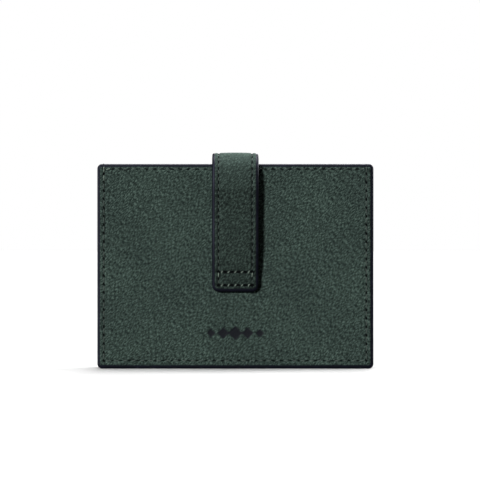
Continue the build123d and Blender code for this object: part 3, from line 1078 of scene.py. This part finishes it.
def hinge_along(name):
    """How far along the strap a hinge lies."""
    spot = np.array(joints[name]["pos_m"]) / MM
    return path_travel[np.argmin(np.hypot(path_line[:, 0] - spot[1], path_line[:, 1] - spot[2]))]


def strap_rows(low, high, end_inset, corner):
    """Places along a stretch, closer together in its rounded corners and at the boxes' rows."""
    steps = end_inset + corner_steps(corner, 7)
    begin = end_inset + corner if low <= 0 else low
    finish = strap_length - end_inset - corner if high >= strap_length else high
    first = [steps] if low <= 0 else []
    last = [(strap_length - steps)[::-1]] if high >= strap_length else []
    return np.concatenate(first + [spaced(begin, finish, 0.33, box_rows, 0.2)] + last)


def strap_layers(name, low, high, nodes):
    """Nubuck face, lining and painted edge of one stretch."""
    inset, end_inset = PAINT_STRAP - LAP, PAINT_TIP - LAP
    corner = STRAP_CORNER - inset
    rows = strap_rows(low, high, end_inset, corner)
    share, unit = STRAP_SEAM / strap_half_width, 1 / strap_half_width
    columns = spaced(-1, 1, 0.4 * unit, (-share, share), 0.16 * unit, 0.8 * unit)
    between = even(STRAP_THICKNESS / 2)

    def half_width(v):
        near_end = np.minimum(v, strap_length - v) - end_inset
        return strap_half_width - inset - rounded_drop(near_end, corner)

    # The face's marks: painted shade in the needle holes, and the crown's paler tone, partly a painted
    # highlight.
    face = slab(
        f"{name}_face", columns, rows, half_width, strap_top, between, strap_place, strap_nubuck_nap_and_shade,
        marks={"hole_shade": lambda u, v: strap_seam_shape(u, v)[1], "stretch_and_highlight": strap_stretch_and_highlight},
    )
    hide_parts(*[f"{node}_leather" for node in nodes])

    columns = spaced(-1, 1, 0.8 * unit)
    lining = slab(
        f"{name}_lining", columns, rows, half_width, strap_bottom, between, strap_place, lining_leather
    )
    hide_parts(*[f"{node}_lining" for node in nodes])

    outline = strap_outline(low, high)
    coat = bead(f"{name}_painted_edge", outline, STRAP_THICKNESS - 0.08, 0.0, strap_place, edge_paint)
    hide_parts(*[f"{node}_edge_coat" for node in nodes])
    return [face, lining, coat]


def strap_thread(name, low, high, nodes):
    """Side stitches, needle slots and, at the strap's ends, the box of stitches of one stretch."""

    def here(spots):
        return [spot for spot in spots if low < spot[1] <= high]

    def beside_box(spot):
        """Side stitches within half of a box's height of its inner row are part of the box."""
        into = BOX_MARGIN + BOX_HEIGHT - min(spot[1], strap_length - spot[1])
        return 0 < into < BOX_HEIGHT / 2

    def in_leather(u, v):
        return strap_top(u, v) - 0.03

    places = here(stitches_along(side_seams, STRAP_PITCH, STRAP_FILL))
    plain = [spot for spot in places if not beside_box(spot)]
    low_thread, high_thread = even(STRAP_THICKNESS - 0.4), even(STRAP_THICKNESS - 0.06)
    side = stitches(f"{name}_side_stitching", plain, low_thread, strap_place, thread, 0.15, 0.1, 0.28)
    slots = here(slots_along(side_seams, STRAP_PITCH, *STRAP_SLOT))
    slots += here(slots_along(box_seams, BOX_PITCH, *BOX_SLOT))
    holes = needle_slots(f"{name}_needle_hole_shades", slots, in_leather, strap_place)
    for piece in (side, holes):
        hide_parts(*[f"{node}_thread" for node in nodes])
    box = here(stitches_along(box_seams, BOX_PITCH, BOX_FILL, BOX_LEAN))
    box += [spot for spot in places if beside_box(spot)]
    if not box:
        return [side, holes]
    # The boxes' stitches use the paler thread, whose colour is a painted highlight.
    boxed = stitches(
        f"{name}_box_stitching", box, high_thread, strap_place, highlight_thread, 0.2, 0.2, 0.35, wander=9
    )
    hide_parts("strap_anchor_box_thread" if low <= 0 else "strap_tip_box_thread")
    return [side, holes, boxed]


def make_strap_stretch(name, low, high, joint, reach, nodes):
    """One stretch of the strap, in place of these nodes. The bend from reach[0] before its joint to
    reach[1] after it is worked out but not used."""
    middle = hinge_along(joint)
    bend = np.array([middle - reach[0], middle + reach[1]])
    points = strap_place(np.zeros(2), bend, np.full(2, STRAP_THICKNESS / 2))
    for piece in strap_layers(name, low, high, nodes) + strap_thread(name, low, high, nodes):
        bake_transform(piece)


lift, crown, front = (hinge_along(name) for name in ("strap_lift", "strap_crown_bend", "strap_front_bend"))
LIFT_REACH, CROWN_REACH, FRONT_REACH = (3.2, 4.4), (3.2, 2.6), (1.9, 6.0)
crown_cut = (lift + LIFT_REACH[1] + crown - CROWN_REACH[0]) / 2
front_cut = (crown + CROWN_REACH[1] + front - FRONT_REACH[0]) / 2
make_strap_stretch("strap_root", 0.0, crown_cut, "strap_lift", LIFT_REACH, ["strap_anchor"])
make_strap_stretch("strap_crown", crown_cut, front_cut, "strap_crown_bend", CROWN_REACH, ["strap_bridge"])
make_strap_stretch(
    "strap_end", front_cut, strap_length, "strap_front_bend", FRONT_REACH, ["strap_tongue", "strap_curl"]
)

# ------------------------------------------------------- carried-over CAD nodes

board, nickel = board_material(), nickel_material()
for node, material in (
    ("front_stiffener", board),
    ("back_stiffener", board),
    ("front_magnet_plate", nickel),
    ("strap_magnet", nickel),
):
    for slot in frame["nodes"][node].material_slots:
        slot.material = material

# --------------------------------------------------------- floor, light, camera


def make_floor():
    """Plain pale paper, which the object neither mirrors nor takes light from."""
    mesh = bpy.data.meshes.new("floor")
    size = 6.0
    corners = [(-size, -size, 0), (size, -size, 0), (size, size, 0), (-size, size, 0)]
    mesh.from_pydata(corners, [], [(0, 1, 2, 3)])
    n = Nodes("floor_paper")
    paper = n.noise(n.solid_coordinates(), 0.02, 2)
    n.colour(paper, [(0.3, [182.4] * 3), (0.7, [185.8] * 3)])
    n.set(Roughness=0.9, Specular_IOR_Level=0.1)
    mesh.materials.append(n.material)
    floor = bpy.data.objects.new("floor", mesh)
    bpy.context.scene.collection.objects.link(floor)
    floor.visible_diffuse = False
    floor.visible_glossy = False


def soft_sun(name, toward, level, degrees):
    """Even light from one direction; level is how bright a white surface facing it gets."""
    data = bpy.data.lights.new(name, "SUN")
    data.energy = level * math.pi
    data.angle = math.radians(degrees)
    light = bpy.data.objects.new(name, data)
    light.rotation_euler = Vector(toward).to_track_quat("Z", "Y").to_euler()
    bpy.context.scene.collection.objects.link(light)


def make_world():
    """White behind the object, a weak fill on it."""
    world = bpy.data.worlds.new("studio")
    world.use_nodes = True
    tree = world.node_tree
    background = tree.nodes["Background"]
    background.inputs["Color"].default_value = (1, 1, 1, 1)
    seen = tree.nodes.new("ShaderNodeLightPath")
    strength = tree.nodes.new("ShaderNodeMapRange")
    strength.inputs["To Min"].default_value = 0.05
    strength.inputs["To Max"].default_value = 1.0
    tree.links.new(seen.outputs["Is Camera Ray"], strength.inputs["Value"])
    tree.links.new(strength.outputs[0], background.inputs["Strength"])
    bpy.context.scene.world = world


# The picture's width where the front cover stands, and the camera's place across and above the floor
VIEW_WIDTH = 180.48
CAMERA_ACROSS, CAMERA_HEIGHT = 1.7296, 48.3912
LENS, SENSOR = 120.0, 36.0


def make_camera():
    """Straight on to the front cover."""
    data = bpy.data.cameras.new("camera")
    data.lens, data.sensor_width = LENS, SENSOR
    data.clip_start, data.clip_end = 0.01, 50
    camera = bpy.data.objects.new("camera", data)
    distance = VIEW_WIDTH * LENS / SENSOR
    camera.location = (CAMERA_ACROSS * MM, (front_outer - distance) * MM, CAMERA_HEIGHT * MM)
    camera.rotation_euler = (math.pi / 2, 0, 0)
    bpy.context.scene.collection.objects.link(camera)
    bpy.context.scene.camera = camera


make_floor()
soft_sun("key", (-0.7, -1.0, 0.36), 1.12, 11)
soft_sun("overhead", (0.05, 0.1, 1.0), 1.6, 30)
soft_sun("rear", (0.2, 1.0, 0.4), 0.6, 30)
soft_sun("side", (1.0, 0.3, 0.35), 1.1, 30)
make_world()
make_camera()
bpy.context.scene.view_settings.view_transform = "Standard"
bpy.context.scene.view_settings.look = "None"
